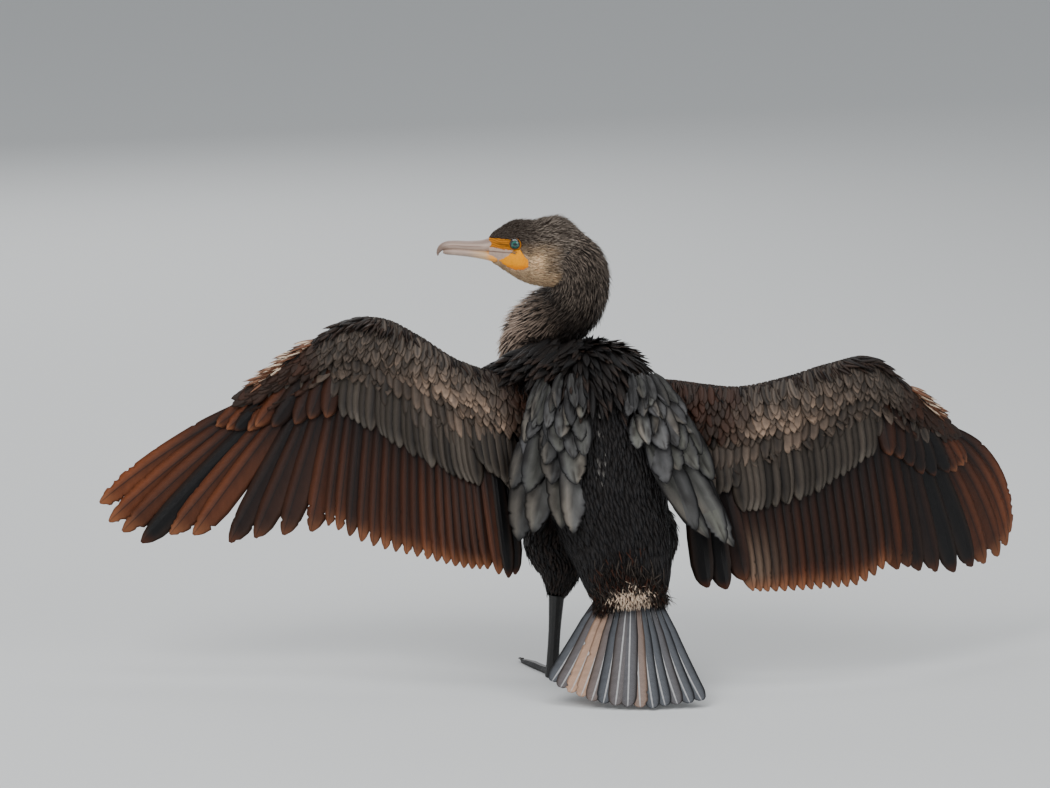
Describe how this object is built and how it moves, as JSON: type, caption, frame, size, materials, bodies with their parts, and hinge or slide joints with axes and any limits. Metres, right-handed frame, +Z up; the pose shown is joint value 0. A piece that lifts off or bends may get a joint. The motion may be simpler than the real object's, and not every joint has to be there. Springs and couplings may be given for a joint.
{
  "type": "great cormorant, still life-size model",
  "caption": "Standing great cormorant with both wings spread to dry, head turned to its left, tail fanned down to the floor.",
  "frame": {"origin": "on the floor, under the middle of the model's bounding box", "axes": "+Z up; the bird looks along +Y, so its left wing reaches along -X and its right wing along +X"},
  "size_m": [1.0649, 0.3995, 0.5215],
  "materials": {
    "body_plumage": "satin",
    "neck_plumage": "satin",
    "wing_feathers": "satin",
    "tail_feathers": "satin",
    "bill": "satin",
    "eye": "gloss",
    "leg_skin": "matte",
    "claw": "satin"
  },
  "bodies": {
    "root": {"torso": "body_plumage", "neck_lower": "neck_plumage", "neck_upper": "neck_plumage", "head": "neck_plumage", "eye_left": "eye", "eye_right": "eye", "bill_upper": "bill", "bill_lower": "bill", "tail": "tail_feathers", "wing_left_arm": "wing_feathers", "wing_left_forearm": "wing_feathers", "wing_left_hand": "wing_feathers", "wing_right_arm": "wing_feathers", "wing_right_forearm": "wing_feathers", "wing_right_hand": "wing_feathers", "thigh_left": "body_plumage", "tarsus_left": "leg_skin", "foot_left": "leg_skin", "claw_left_hallux": "claw", "claw_left_inner": "claw", "claw_left_middle": "claw", "claw_left_outer": "claw", "thigh_right": "body_plumage", "tarsus_right": "leg_skin", "foot_right": "leg_skin", "claw_right_hallux": "claw", "claw_right_inner": "claw", "claw_right_middle": "claw", "claw_right_outer": "claw"}
  },
  "joints": []
}
